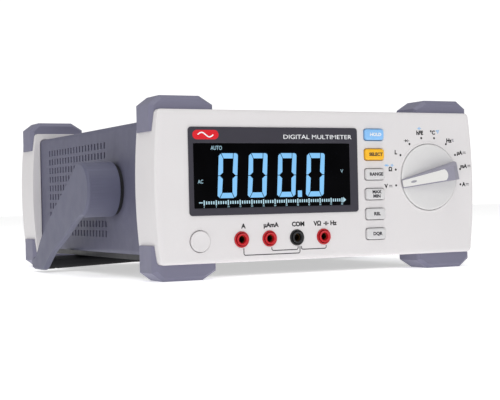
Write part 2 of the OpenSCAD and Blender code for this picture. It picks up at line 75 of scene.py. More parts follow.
BEZEL_LOW, BEZEL_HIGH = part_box("front_bezel")
FRONT = BEZEL_LOW.y
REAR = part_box("rear_bezel")[1].y
FRAME_DEPTH = BEZEL_HIGH.y - BEZEL_LOW.y
COVER_LOW, COVER_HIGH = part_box("top_cover")
PIVOT = middle("pivot_spigot_left")
DIAL = middle("dial_disc")
DIAL_RADIUS = (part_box("dial_disc")[1].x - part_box("dial_disc")[0].x) / 2
SURROUND_LOW, SURROUND_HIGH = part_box("display_frame")
WINDOW_LOW, WINDOW_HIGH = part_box("display_window")
JACKS = [("a", "red_plastic"), ("ma", "red_plastic"), ("com", "black_plastic"), ("v", "red_plastic")]

BULGE = 2.9 * MM                 # how far the frames' sides bow out at mid height
CORNER = 2.6 * MM                # corner radius of the frames
WALL = 3 * MM                    # thickness of the front wall
CLEARANCE = 0.4 * MM             # gap around keys and dial
PRINT = 0.04 * MM                # thickness of printed lettering
JACK_HOLE = 4.85 * MM            # radius of the panel's holes for the jacks
POWER_RADIUS = 6.2 * MM          # radius of the power key
BOSS_X = 100 * MM                # screw bosses of the end frames
BOSS_HEIGHTS = (22 * MM, 89.7 * MM)


# ---- mesh helpers ----

def add_object(name, mesh):
    piece = bpy.data.objects.new(name, mesh)
    scene.collection.objects.link(piece)
    return piece


def from_bmesh(name, work):
    """An object from a mesh under construction, with its normals turned outwards."""
    bmesh.ops.recalc_face_normals(work, faces=work.faces)
    mesh = bpy.data.meshes.new(name)
    work.to_mesh(mesh)
    work.free()
    return add_object(name, mesh)


def from_points(name, points, faces):
    """A closed object from points and faces, with its normals turned outwards."""
    mesh = bpy.data.meshes.new(name)
    mesh.from_pydata([tuple(point) for point in points], [], faces)
    work = bmesh.new()
    work.from_mesh(mesh)
    bmesh.ops.recalc_face_normals(work, faces=work.faces)
    work.to_mesh(mesh)
    work.free()
    return add_object(name, mesh)


def loft(name, rings, joined=False):
    """A skin over rings of equal point counts. Its ends are capped, or joined to each other."""
    count = len(rings[0])
    points = [point for ring in rings for point in ring]
    faces = []
    for i in range(len(rings) if joined else len(rings) - 1):
        here = i * count
        there = (i + 1) % len(rings) * count
        for k in range(count):
            n = (k + 1) % count
            faces.append((here + k, here + n, there + n, there + k))
    if not joined:
        faces.append(tuple(range(count)))
        faces.append(tuple(range(len(points) - count, len(points))))
    return from_points(name, points, faces)


def lathe(name, profile, centre, axis="Y", segments=72):
    """Turns (radius, along) points about an axis. A profile that starts off the axis is a closed ring."""
    points = []
    rings = []
    for radius, along in profile:
        ring = []
        for k in range(segments if radius > 0 else 1):
            turn = math.tau * k / segments
            a = radius * math.cos(turn)
            b = radius * math.sin(turn)
            ring.append(len(points))
            points.append(centre + Vector((a, along, b) if axis == "Y" else (along, a, b)))
        rings.append(ring)
    ends = rings[1:] + (rings[:1] if profile[0][0] > 0 else [])
    faces = []
    for near, far in zip(rings, ends):
        for k in range(segments):
            n = (k + 1) % segments
            corners = [near[k % len(near)], near[n % len(near)], far[n % len(far)], far[k % len(far)]]
            faces.append(tuple(dict.fromkeys(corners)))
    return from_points(name, points, faces)


def bake(piece):
    """Applies a piece's modifiers to its mesh."""
    graph = bpy.context.evaluated_depsgraph_get()
    mesh = bpy.data.meshes.new_from_object(piece.evaluated_get(graph))
    piece.modifiers.clear()
    piece.data = mesh


def combine(piece, other, operation):
    """Cuts another solid out of a piece, or joins it on, and removes it."""
    step = piece.modifiers.new("combine", "BOOLEAN")
    step.operation = operation
    step.solver = "EXACT"
    step.object = other
    bake(piece)
    bpy.data.objects.remove(other)


def round_edges(piece, width, segments=2, angle=30):
    step = piece.modifiers.new("round", "BEVEL")
    step.width = width
    step.segments = segments
    step.limit_method = "ANGLE"
    step.angle_limit = math.radians(angle)
    bake(piece)


def shade(piece, angle=35):
    """Smooth shading that keeps real edges and lets the large faces stay flat."""
    piece.data.shade_smooth()
    piece.data.set_sharp_from_angle(angle=math.radians(angle))
    step = piece.modifiers.new("normals", "WEIGHTED_NORMAL")
    step.keep_sharp = True


def merge(pieces):
    """Joins separate objects into the first one, as separate shells."""
    first = pieces[0]
    work = bmesh.new()
    for piece in pieces:
        work.from_mesh(piece.data)
    work.to_mesh(first.data)
    work.free()
    for piece in pieces[1:]:
        bpy.data.objects.remove(piece)
    return first


def place(piece, body, material, replaced=()):
    """Puts a piece on a body, with its material and the nodes that it stands for."""
    piece.data.materials.clear()
    piece.data.materials.append(material)
    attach(piece, body)
    if replaced:
        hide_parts(*replaced)


def finish(piece, body, slot, *replaced):
    """Puts a piece on a body in its slot's own material."""
    place(piece, body, MATERIALS[slot], replaced)


# ---- outlines ----

def arc(x, z, radius, start, stop, steps):
    """Points on a circle from one angle to another, in degrees."""
    angles = [math.radians(start + (stop - start) * i / steps) for i in range(steps + 1)]
    return [(x + radius * math.cos(a), z + radius * math.sin(a)) for a in angles]


def rounded_rect(low_x, low_z, high_x, high_z, radius, steps=5):
    return (arc(high_x - radius, low_z + radius, radius, -90, 0, steps)
            + arc(high_x - radius, high_z - radius, radius, 0, 90, steps)
            + arc(low_x + radius, high_z - radius, radius, 90, 180, steps)
            + arc(low_x + radius, low_z + radius, radius, 180, 270, steps))


def rect(low_x, low_z, high_x, high_z):
    return [(low_x, low_z), (high_x, low_z), (high_x, high_z), (low_x, high_z)]


def box_outline(low, high, grow, radius):
    """The X-Z outline of a box, grown by a distance."""
    return rounded_rect(low.x - grow, low.z - grow, high.x + grow, high.z + grow, radius)


def at(outline, y):
    """An X-Z outline as points at one Y."""
    return [Vector((x, y, z)) for x, z in outline]


def half_width(z):
    """Half width of an end frame at a height, along its bowed side."""
    half = (BEZEL_HIGH.z - BEZEL_LOW.z) / 2
    radius = (half * half + BULGE * BULGE) / (2 * BULGE)
    off = z - (BEZEL_HIGH.z + BEZEL_LOW.z) / 2
    return BEZEL_HIGH.x - radius + math.sqrt(radius * radius - off * off)


def frame_outline(inset):
    """Outline of an end frame: bowed sides between rounded corners."""
    sides = 18
    turns = 6
    low = BEZEL_LOW.z + inset + CORNER
    high = BEZEL_HIGH.z - inset - CORNER
    corner_x = half_width(low) - inset - CORNER
    foot = arc(corner_x, low, CORNER, -90, -15, turns - 1)
    heights = [low + (high - low) * i / sides for i in range(sides + 1)]
    flank = [(half_width(z) - inset, z) for z in heights]
    head = arc(corner_x, high, CORNER, 15, 90, turns - 1)
    right = foot + flank + head
    return right + [(-x, z) for x, z in reversed(right)]


def smooth_through(points, steps):
    """A smooth open curve through a few points."""
    ends = [points[0]] + points + [points[-1]]
    curve = []
    for before, start, stop, after in zip(ends, ends[1:], ends[2:], ends[3:]):
        for i in range(steps):
            t = i / steps
            weights = (-t + 2 * t * t - t ** 3, 2 - 5 * t * t + 3 * t ** 3,
                       t + 4 * t * t - 3 * t ** 3, -t * t + t ** 3)
            corners = (before, start, stop, after)
            curve.append(tuple(sum(w * c[k] for w, c in zip(weights, corners)) / 2 for k in (0, 1)))
    return curve + [points[-1]]


def pulled_in(outline, inset):
    """A closed outline, listed counter-clockwise, moved inwards by a distance."""
    moved = []
    for i, (x, z) in enumerate(outline):
        x0, z0 = outline[i - 1]
        x1, z1 = outline[(i + 1) % len(outline)]
        length = math.hypot(x1 - x0, z1 - z0)
        moved.append((x - inset * (z1 - z0) / length, z + inset * (x1 - x0) / length))
    return moved


# ---- materials ----

def srgb(red, green, blue):
    """A screen colour, 0 to 255, as linear RGBA."""
    channels = [c / 255 for c in (red, green, blue)]
    return tuple(c / 12.92 if c <= 0.04045 else ((c + 0.055) / 1.055) ** 2.4 for c in channels) + (1,)


def scaled(colour, factor):
    return tuple(min(1, c * factor) for c in colour[:3]) + (1,)


class Recipe:
    """A node material under construction."""

    def __init__(self, name):
        self.material = bpy.data.materials.new(name)
        self.material.use_nodes = True
        self.nodes = self.material.node_tree.nodes
        self.shader = self.nodes["Principled BSDF"]
        self.coords = self.nodes.new("ShaderNodeTexCoord").outputs["Object"]

    def link(self, output, socket):
        self.material.node_tree.links.new(output, socket)

    def feed(self, name, output):
        """Drives one of the shader's inputs."""
        self.link(output, self.shader.inputs[name])

    def set(self, **values):
        for name, value in values.items():
            self.shader.inputs[name.replace("_", " ")].default_value = value

    def noise(self, size, detail=2.0, stretch=(1, 1, 1)):
        """Noise whose blotches are about this size."""
        mapping = self.nodes.new("ShaderNodeMapping")
        mapping.inputs["Scale"].default_value = stretch
        self.link(self.coords, mapping.inputs["Vector"])
        node = self.nodes.new("ShaderNodeTexNoise")
        node.inputs["Scale"].default_value = 1 / size
        node.inputs["Detail"].default_value = detail
        self.link(mapping.outputs["Vector"], node.inputs["Vector"])
        return node.outputs["Fac"]

    def bands(self, size, direction):
        """Even stripes along one axis."""
        node = self.nodes.new("ShaderNodeTexWave")
        node.bands_direction = direction
        node.inputs["Scale"].default_value = 1 / (size * math.pi)
        self.link(self.coords, node.inputs["Vector"])
        return node.outputs["Fac"]

    def between(self, value, low, high, start=0.3, stop=0.7):
        """A value spread over a range of numbers."""
        node = self.nodes.new("ShaderNodeMapRange")
        node.inputs["From Min"].default_value = start
        node.inputs["From Max"].default_value = stop
        node.inputs["To Min"].default_value = low
        node.inputs["To Max"].default_value = high
        self.link(value, node.inputs["Value"])
        return node.outputs["Result"]

    def colours(self, value, stops):
        """A value spread over colours, as (position, colour) stops."""
        node = self.nodes.new("ShaderNodeValToRGB")
        ramp = node.color_ramp
        while len(ramp.elements) < len(stops):
            ramp.elements.new(0.5)
        for element, (position, colour) in zip(ramp.elements, stops):
            element.position = position
            element.color = colour
        self.link(value, node.inputs["Fac"])
        return node.outputs["Color"]

    def blend(self, factor, under, over):
        """One colour over another. Each is a socket or a plain colour."""
        node = self.nodes.new("ShaderNodeMix")
        node.data_type = "RGBA"
        sockets = [s for s in node.inputs if s.type == "RGBA"]
        for socket, colour in zip(sockets, (under, over)):
            if isinstance(colour, tuple):
                socket.default_value = colour
            else:
                self.link(colour, socket)
        self.link(factor, node.inputs["Factor"])
        return next(s for s in node.outputs if s.type == "RGBA")

    def bump(self, height, depth, strength=1.0, under=None):
        node = self.nodes.new("ShaderNodeBump")
        node.inputs["Distance"].default_value = depth
        node.inputs["Strength"].default_value = strength
        self.link(height, node.inputs["Height"])
        if under:
            self.link(under, node.inputs["Normal"])
        return node.outputs["Normal"]


def moulded(name, colour, roughness, grain, depth, mottling, wear_and_highlight=0.0, specular=0.5):
    """Moulded plastic or rubber: a fine grain, faint blotches, uneven gloss, and paler edges that are partly
    wear and partly painted highlight.

    The grain's size and depth are in millimetres."""
    recipe = Recipe(name)
    grain *= MM
    depth *= MM
    blotches = recipe.noise(22 * MM, 3.0)
    base = recipe.colours(blotches, [(0.3, scaled(colour, 1 - mottling)),
                                     (0.7, scaled(colour, 1 + mottling))])
    specks = recipe.noise(grain * 1.7, 1.0)
    base = recipe.blend(recipe.between(specks, 0, 0.5), base, scaled(colour, 1 - 1.5 * mottling))
    # Pointiness lightens convex edges: partly rubbed wear, partly a painted highlight along them.
    if wear_and_highlight:
        pointed = recipe.nodes.new("ShaderNodeNewGeometry").outputs["Pointiness"]
        worn_and_highlit_edge = recipe.between(pointed, 0, wear_and_highlight, 0.51, 0.6)
        base = recipe.blend(worn_and_highlit_edge, base, scaled(colour, 1.6))
    recipe.feed("Base Color", base)
    smears = recipe.noise(9 * MM, 4.0)
    recipe.feed("Roughness", recipe.between(smears, roughness - 0.05, roughness + 0.06))
    waves = recipe.bump(recipe.noise(14 * MM, 1.0), 0.03 * MM, 0.6)
    recipe.feed("Normal", recipe.bump(recipe.noise(grain, 2.0), depth, 1.0, waves))
    recipe.set(Specular_IOR_Level=specular)
    return recipe.material


def metal(name, colour, roughness=0.3, stretch=(1, 1, 8)):
    """Bare metal with drawn lines and dull spots."""
    recipe = Recipe(name)
    lines = recipe.noise(0.8 * MM, 3.0, stretch)
    dull = recipe.noise(4 * MM, 3.0)
    base = recipe.colours(dull, [(0.35, scaled(colour, 0.82)), (0.7, colour)])
    recipe.feed("Base Color", base)
    recipe.feed("Roughness", recipe.between(lines, roughness - 0.08, roughness + 0.12))
    recipe.feed("Normal", recipe.bump(lines, 0.01 * MM))
    recipe.set(Metallic=1.0)
    return recipe.material


def ink(name, colour, roughness=0.55):
    """Screen-printed ink, a little uneven in cover."""
    recipe = Recipe(name)
    cover = recipe.noise(0.5 * MM, 3.0)
    base = recipe.colours(cover, [(0.25, scaled(colour, 1.25)), (0.6, colour)])
    recipe.feed("Base Color", base)
    recipe.feed("Roughness", recipe.between(cover, roughness, roughness + 0.1))
    recipe.set(Specular_IOR_Level=0.3)
    return recipe.material


def lit(name, colour, strength):
    """A lit display element over the dark glass, with a faint unevenness of the backlight."""
    recipe = Recipe(name)
    glow = recipe.noise(30 * MM, 1.0)
    shown = recipe.colours(glow, [(0.3, scaled(colour, 0.93)), (0.7, colour)])
    recipe.feed("Emission Color", shown)
    recipe.feed("Base Color", recipe.colours(glow, [(0.0, srgb(10, 14, 20)), (1.0, srgb(16, 20, 28))]))
    recipe.set(Emission_Strength=strength, Roughness=0.4, Specular_IOR_Level=0.1)
    return recipe.material


def dark_glass(name):
    """The tinted window over the display: almost black, hard and a little glossy."""
    recipe = Recipe(name)
    haze = recipe.noise(18 * MM, 3.0)
    tint = recipe.colours(haze, [(0.3, srgb(1, 1, 2)), (0.7, srgb(3, 3, 5))])
    recipe.feed("Base Color", tint)
    recipe.feed("Roughness", recipe.between(haze, 0.16, 0.24))
    recipe.feed("Normal", recipe.bump(recipe.noise(25 * MM, 0.0), 0.02 * MM))
    recipe.set(Specular_IOR_Level=0.04)
    return recipe.material


def circuit_board(name):
    """Green solder mask over tracks, with a fine weave under it."""
    recipe = Recipe(name)
    tracks = recipe.nodes.new("ShaderNodeTexBrick")
    tracks.inputs["Scale"].default_value = 1 / (5 * MM)
    tracks.inputs["Mortar Size"].default_value = 0.06
    recipe.link(recipe.coords, tracks.inputs["Vector"])
    fibres = recipe.noise(0.6 * MM, 2.0)
    mask = recipe.colours(fibres, [(0.3, srgb(14, 74, 44)), (0.7, srgb(20, 92, 54))])
    base = recipe.blend(tracks.outputs["Fac"], mask, srgb(46, 128, 74))
    recipe.feed("Base Color", base)
    recipe.feed("Roughness", recipe.between(fibres, 0.3, 0.42))
    recipe.feed("Normal", recipe.bump(tracks.outputs["Fac"], 0.05 * MM))
    return recipe.material


def striped(name, dark, light, size, direction, roughness=0.45):
    """Wires side by side, as in a winding or a ribbon cable."""
    recipe = Recipe(name)
    wires = recipe.bands(size, direction)
    base = recipe.colours(wires, [(0.1, dark), (0.6, light)])
    recipe.feed("Base Color", base)
    recipe.feed("Roughness", recipe.between(recipe.noise(3 * MM), roughness - 0.06, roughness + 0.06))
    recipe.feed("Normal", recipe.bump(wires, 0.3 * MM))
    return recipe.material


# Colour, roughness, grain size and depth in mm, mottling, edge wear with painted highlight, and gloss of the
# moulded slots.
MOULDED = {
    "panel_plastic": (srgb(226, 223, 224), 0.5, 0.45, 0.012, 0.012),
    "case_plastic": (srgb(96, 96, 117), 0.55, 0.5, 0.04, 0.05),
    "bumper_plastic": (srgb(120, 119, 140), 0.5, 0.4, 0.02, 0.04, 0.25),
    "rear_panel_plastic": (srgb(70, 69, 82), 0.55, 0.5, 0.04, 0.05),
    "display_surround": (srgb(54, 52, 62), 0.45, 0.35, 0.01, 0.05, 0.2, 0.35),
    "lcd": (srgb(30, 34, 42), 0.3, 0.3, 0.005, 0.05),
    "diffuser": (srgb(240, 243, 248), 0.6, 0.4, 0.02, 0.02),
    "black_plastic": (srgb(33, 33, 36), 0.42, 0.4, 0.015, 0.08, 0.15, 0.4),
    "red_plastic": (srgb(196, 22, 34), 0.3, 0.4, 0.008, 0.05, 0.2),
    "capacitor_sleeve": (srgb(24, 28, 48), 0.35, 0.5, 0.01, 0.08),
    "fuse_ceramic": (srgb(226, 224, 214), 0.35, 0.3, 0.01, 0.04),
    "dial_grey": (srgb(224, 223, 223), 0.48, 0.45, 0.01, 0.015),
    "dial_violet": (srgb(143, 141, 156), 0.45, 0.4, 0.012, 0.04, 0.2),
    "dial_white": (srgb(226, 225, 223), 0.42, 0.4, 0.008, 0.015),
    "handle_plastic": (srgb(94, 95, 116), 0.5, 0.45, 0.02, 0.04, 0.25),
    # near-black bar colour: partly a dark grip, partly painted shade under the case
    "bar_plastic": (srgb(26, 26, 30), 0.55, 0.5, 0.03, 0.1, 0.1, 0.35),
    "key_blue": (srgb(140, 196, 248), 0.4, 0.4, 0.01, 0.03),
    "key_yellow": (srgb(252, 190, 30), 0.4, 0.4, 0.01, 0.03),
    "key_white": (srgb(215, 214, 215), 0.42, 0.4, 0.01, 0.015),
    "power_key_plastic": (srgb(226, 223, 224), 0.45, 0.4, 0.01, 0.012),
}
MATERIALS = {slot: moulded(slot, *values) for slot, values in MOULDED.items()}
MATERIALS.update({
    "display_glass": dark_glass("display_glass"),
    "circuit_board": circuit_board("circuit_board"),
    "steel": metal("steel", srgb(190, 192, 196), 0.32),
    # brass darkened well below bare brass: painted shade for the jack sleeves deep in their holes, also used
    # on the inlet pins
    "brass": metal("brass", srgb(120, 92, 56), 0.45),
    "copper_winding": striped("copper_winding", srgb(96, 48, 20), srgb(206, 122, 58), 0.5 * MM, "Z"),
    "ribbon": striped("ribbon", srgb(130, 132, 138), srgb(198, 199, 204), 1.27 * MM, "X"),
})
INK_BLACK = ink("ink_black", srgb(28, 27, 30))
INK_DARK = ink("ink_dark", srgb(44, 43, 50))
INK_GREY = ink("ink_grey", srgb(150, 150, 158))
INK_BLUE = ink("ink_blue", srgb(110, 182, 238))
INK_WHITE = ink("ink_white", srgb(238, 240, 244))
INK_RED = ink("ink_red", srgb(214, 24, 38), 0.4)
LIT_BLUE = lit("lit_blue", srgb(138, 203, 252), 1.0)
LIT_PALE = lit("lit_pale", srgb(186, 222, 236), 1.0)
LIT_DIM = lit("lit_dim", srgb(160, 196, 210), 1.0)


# ---- end frames ----

def frame_shell(name, y_of, wall, pocket_depth):
    """An end frame: a rounded block with its hollow for the cover cut from behind.

    y_of turns a depth behind the outer face into a Y."""
    lip = [(0.0, 3.0), (0.03, 2.4), (0.12, 1.75), (0.28, 1.2), (0.52, 0.68), (0.85, 0.32), (1.25, 0.08),
           (1.7, 0.0)]
    rings = [at(frame_outline(inset * MM), y_of(depth * MM)) for depth, inset in lip]
    edge = 0.5 * MM
    rings.append(at(frame_outline(0), y_of(FRAME_DEPTH - edge)))
    rings.append(at(frame_outline(edge * 0.4), y_of(FRAME_DEPTH - edge * 0.2)))
    rings.append(at(frame_outline(edge), y_of(FRAME_DEPTH)))
    block = loft(name, rings)
    play = 0.2 * MM
    pocket = box_outline(COVER_LOW, COVER_HIGH, play, 3.2 * MM)
    wide = box_outline(COVER_LOW, COVER_HIGH, play + edge, 3.7 * MM)
    hollow = loft("hollow", [at(pocket, y_of(wall)), at(pocket, y_of(FRAME_DEPTH - edge)),
                             at(wide, y_of(FRAME_DEPTH)), at(wide, y_of(FRAME_DEPTH + pocket_depth))])
    combine(block, hollow, "DIFFERENCE")
    return block


def bosses(y_of, near, far):
    """The four screw bosses of an end frame, as tubes between two depths."""
    bore = 1.2 * MM
    outer = 3.5 * MM
    posts = []
    for side in (-1, 1):
        for z in BOSS_HEIGHTS:
            profile = [(bore, y_of(near)), (outer, y_of(near)), (outer, y_of(far)), (bore, y_of(far))]
            posts.append(lathe("boss", profile, Vector((side * BOSS_X, 0, z)), segments=24))
    return posts


def chamfered_hole(outline_at, y_of, depth):
    """A cutter through the front wall with a small chamfer at its mouth. outline_at gives the outline
    grown by a distance."""
    mouth = 0.25 * MM
    return loft("cutter", [at(outline_at(mouth * 3), y_of(-mouth * 2)), at(outline_at(mouth), y_of(0)),
                           at(outline_at(0), y_of(mouth)), at(outline_at(0), y_of(depth))])


def key_outline(centre, half_w, half_h):
    """A key seen from the front: a rounded rectangle with its top and bottom bowed out."""
    bow = 1.0 * MM
    corners = rounded_rect(-half_w, -half_h, half_w, half_h, min(1.5 * MM, half_w, half_h) * 0.99)
    return [(centre.x + x, centre.z + z * (1 - bow / half_h * (x / half_w) ** 2)) for x, z in corners]


KEY_BODIES = ["hold", "select", "range", "max_min", "rel", "dqr"]
KEY_HALF_W = 7.0 * MM
KEY_HALF_H = 4.1 * MM


def front_frame():
    """The front bezel with its panel, cut out for the display, keys, jacks, power key and dial."""
    def y_of(depth):
        return FRONT + depth

    bezel = frame_shell("front_bezel_shell", y_of, WALL, 5 * MM)
    through = WALL + 1 * MM
    cutters = []

    def hole(outline_at):
        cutters.append(chamfered_hole(outline_at, y_of, through))

    inset = 1.5 * MM
    hole(lambda grow: box_outline(SURROUND_LOW, SURROUND_HIGH, grow - inset, inset + grow))
    key_w = KEY_HALF_W + CLEARANCE
    key_h = KEY_HALF_H + CLEARANCE
    for name in KEY_BODIES:
        hole(lambda grow, c=middle("button_" + name): key_outline(c, key_w + grow, key_h + grow))
    for name, _ in JACKS:
        hole(lambda grow, c=middle("jack_housing_" + name): arc(c.x, c.z, JACK_HOLE + grow, 0, 354, 59))
    power = middle("power_button")
    hole(lambda grow: arc(power.x, power.z, POWER_RADIUS + CLEARANCE + grow, 0, 355, 71))
    well = DIAL_RADIUS + CLEARANCE
    chamfer = 0.08 * MM
    axle = 5 * MM
    floor = 1.6 * MM
    mouth = -2 * MM
    cutters.append(lathe("well", [
        (0, mouth), (well + 2 * chamfer, mouth), (well + 2 * chamfer, -chamfer), (well, chamfer),
        (well, floor), (axle, floor), (axle, through), (0, through)], Vector((DIAL.x, FRONT, DIAL.z))))
    for cutter in cutters:
        combine(bezel, cutter, "DIFFERENCE")
    merge([bezel] + bosses(y_of, WALL, 10 * MM))
    shade(bezel)
    finish(bezel, "case", "panel_plastic", "front_bezel")


def dial_ring():
    """The thin raised ring of the panel around the dial, part of the front bezel."""
    inner = DIAL_RADIUS + 0.42 * MM
    outer = inner + 1.45 * MM
    height = 0.45 * MM
    profile = [(inner, 0.2 * MM), (inner, -height * 0.6), (inner + 0.25 * MM, -height),
               (outer - 0.45 * MM, -height), (outer - 0.15 * MM, -height * 0.55), (outer, 0),
               (outer, 0.2 * MM)]
    ring = lathe("panel_dial_ring", profile, Vector((DIAL.x, FRONT, DIAL.z)), segments=120)
    shade(ring, 40)
    finish(ring, "case", "panel_plastic")


def rear_frame():
    """The rear bezel: the same frame around a wide opening for the rear panel."""
    def y_of(depth):
        return REAR - depth

    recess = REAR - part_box("rear_panel")[1].y
    bezel = frame_shell("rear_bezel_shell", y_of, recess, 5 * MM)
    lip = 3.6 * MM
    cutter = chamfered_hole(lambda grow: box_outline(
        COVER_LOW, COVER_HIGH, grow - lip, 3 * MM + grow), y_of, recess + 1 * MM)
    combine(bezel, cutter, "DIFFERENCE")
    merge([bezel] + bosses(y_of, recess + 2.5 * MM, FRAME_DEPTH - 6 * MM))
    shade(bezel)
    finish(bezel, "case", "panel_plastic", "rear_bezel")


# ---- bumpers ----

def bumper(node):
    """A rubber corner bumper: bevelled blocks wrapped round a frame's corner."""
    low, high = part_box(node)
    side = 1 if low.x > 0 else -1
    up = 1 if high.z > BEZEL_HIGH.z else -1
    edge = BEZEL_HIGH.z if up > 0 else BEZEL_LOW.z
    rise = high.z - edge if up > 0 else edge - low.z
    outer = max(high.x, -low.x)
    arm_x = high.x - low.x
    foot = rise - (high.z - low.z)
    bevel = 2.5 * MM
    root = -3 * MM                   # reaches into the frame and is cut back to it
    inner_run, inner_fall = 8.8 * MM, 5.3 * MM
    outer_run, outer_fall = 7 * MM, 5.2 * MM
    wrap = 9 * MM

    def section(y, inset):
        inner = outer - arm_x + inset / 2
        top = rise - inset
        outline = [
            (inner, root), (inner, top - inner_fall + inset / 2), (outer - arm_x + inner_run, top),
            (outer - outer_run, top), (outer - inset, top - outer_fall + inset / 2), (outer - inset, foot),
            (outer - wrap, foot),
        ]
        return [Vector((side * x, y, edge + up * z)) for x, z in outline]

    block = loft(node + "_rubber", [section(low.y, bevel), section(low.y + bevel, 0),
                                    section(high.y - bevel, 0), section(high.y, bevel)])
    frame_side = frame_outline(-0.12 * MM)
    seat = loft("seat", [at(frame_side, low.y - 1 * MM), at(frame_side, high.y + 1 * MM)])
    combine(block, seat, "DIFFERENCE")
    round_edges(block, 1.2 * MM, 4, 18)
    shade(block, 40)
    finish(block, "case", "bumper_plastic", node)


# ---- display ----

def display_surround():
    """The dark surround: a bevelled frame with a sloping inner edge down to the window."""
    def ring(grow, y, radius):
        return at(box_outline(SURROUND_LOW, SURROUND_HIGH, grow, radius), y)

    def hole(grow, y):
        return at(box_outline(WINDOW_LOW, WINDOW_HIGH, grow, 0.6 * MM + max(0, grow)), y)

    face = SURROUND_LOW.y
    back = SURROUND_HIGH.y
    step = 1.6 * MM
    soft = 0.3 * MM
    rings = [
        ring(0, FRONT + 0.02 * MM, 2 * MM), ring(0, face + soft, 2 * MM),
        ring(-soft * 0.3, face + soft * 0.3, 1.9 * MM),
        ring(-soft, face, 1.7 * MM), hole(0.55 * MM, face), hole(0.4 * MM, face + 0.08 * MM),
        hole(0.06 * MM, face + 0.45 * MM), hole(0.03 * MM, back), ring(-step, back, 1.4 * MM),
        ring(-step, FRONT + 0.02 * MM, 1.4 * MM),
    ]
    surround = loft("display_surround_frame", rings, joined=True)
    shade(surround, 30)
    finish(surround, "case", "display_surround", "display_frame")


def prism(work, points, y, thickness):
    """Adds a thin flat plate with this X-Z outline to a mesh being built."""
    near = [work.verts.new((x, y, z)) for x, z in points]
    far = [work.verts.new((x, y + thickness, z)) for x, z in points]
    work.faces.new(near)
    work.faces.new(list(reversed(far)))
    for i in range(len(points)):
        n = (i + 1) % len(points)
        work.faces.new((near[n], near[i], far[i], far[n]))


def plates(name, outlines, y, material, body="case"):
    """Thin plates with these outlines, standing on the surface at y, as one piece."""
    work = bmesh.new()
    for outline in outlines:
        prism(work, outline, y - PRINT, PRINT)
    place(from_bmesh(name, work), body, material)


def stroke(points, width):
    """Outline of a line of even width along a few points."""
    left = []
    right = []
    for i, (x, z) in enumerate(points):
        x0, z0 = points[max(0, i - 1)]
        x1, z1 = points[min(len(points) - 1, i + 1)]
        length = math.hypot(x1 - x0, z1 - z0)
        off_x = -(z1 - z0) / length * width / 2
        off_z = (x1 - x0) / length * width / 2
        left.append((x + off_x, z + off_z))
        right.append((x - off_x, z - off_z))
    return left + right[::-1]


def zero_segments(centre_x, centre_z):
    """The six lit segments of a 0, as slanted outlines with mitred joints."""
    w = 12.7 * MM / 2
    h = 26.8 * MM / 2
    bar = 3.1 * MM
    lean = math.tan(math.radians(3.2))
    inner_w = w - bar
    inner_h = h - bar
    gap = 0.22 * MM
    round_off = 1.5 * MM
    tip = 1.9 * MM
    nose = 1.2 * MM
    top = [(-w + round_off + gap, h), (inner_w - gap, h), (inner_w - gap, inner_h), (-inner_w + gap, inner_h)]
    right_top = [(inner_w + gap, h), (w - round_off, h), (w - round_off * 0.3, h - round_off * 0.3),
                 (w, h - round_off), (w, gap), (w - nose, gap), (inner_w, tip), (inner_w + gap, inner_h)]
    left_top = [(-w + round_off - gap, h - gap), (-w, h - round_off), (-w, gap), (-w + nose, gap),
                (-inner_w, tip), (-inner_w - gap, inner_h)]
    right_low = [(w, -gap), (w, -h + round_off), (w - round_off + gap, -h + gap), (inner_w + gap, -inner_h),
                 (inner_w, -tip), (w - nose, -gap)]
    left_low = [(-x, z) for x, z in right_low]
    bottom = [(-inner_w + gap, -inner_h), (inner_w - gap, -inner_h), (w - round_off - gap, -h),
              (-w + round_off + gap, -h)]
    segments = (top, right_top, left_top, right_low, left_low, bottom)
    return [[(centre_x + x + z * lean, centre_z + z) for x, z in segment] for segment in segments]


def letters(items):
    """Flat text outlines as one mesh, facing -Y. Items are (text, x, z, height, options)."""
    work = bmesh.new()
    for text, x, z, height, options in items:
        curve = bpy.data.curves.new("letters", "FONT")
        curve.body = text
        curve.size = 1.0
        curve.align_x = options.get("align", "CENTER")
        curve.align_y = "CENTER"
        curve.offset = options.get("weight", 0.02)
        curve.space_line = 0.85
        curve.resolution_u = 3
        source = bpy.data.objects.new("letters", curve)
        mesh = bpy.data.meshes.new_from_object(source)
        scale = height / 0.7
        widen = options.get("widen", 1.0)
        turn = Matrix.Rotation(math.radians(90), 4, "X")
        stretch = Matrix.Diagonal((scale * widen, scale, scale, 1))
        mesh.transform(Matrix.Translation((x, 0, z)) @ turn @ stretch)
        work.from_mesh(mesh)
        bpy.data.meshes.remove(mesh)
        bpy.data.objects.remove(source)
        bpy.data.curves.remove(curve)
    bmesh.ops.remove_doubles(work, verts=work.verts, dist=0.001 * MM)
    return work


def lettering(name, items, y, material, body="case"):
    """Printed lettering of a small real thickness on the surface at y."""
    work = letters(items)
    result = bmesh.ops.extrude_face_region(work, geom=work.faces[:])
    moved = [part for part in result["geom"] if isinstance(part, bmesh.types.BMVert)]
    bmesh.ops.translate(work, verts=moved, vec=(0, -PRINT, 0))
    bmesh.ops.translate(work, verts=work.verts, vec=(0, y, 0))
    place(from_bmesh(name, work), body, material)


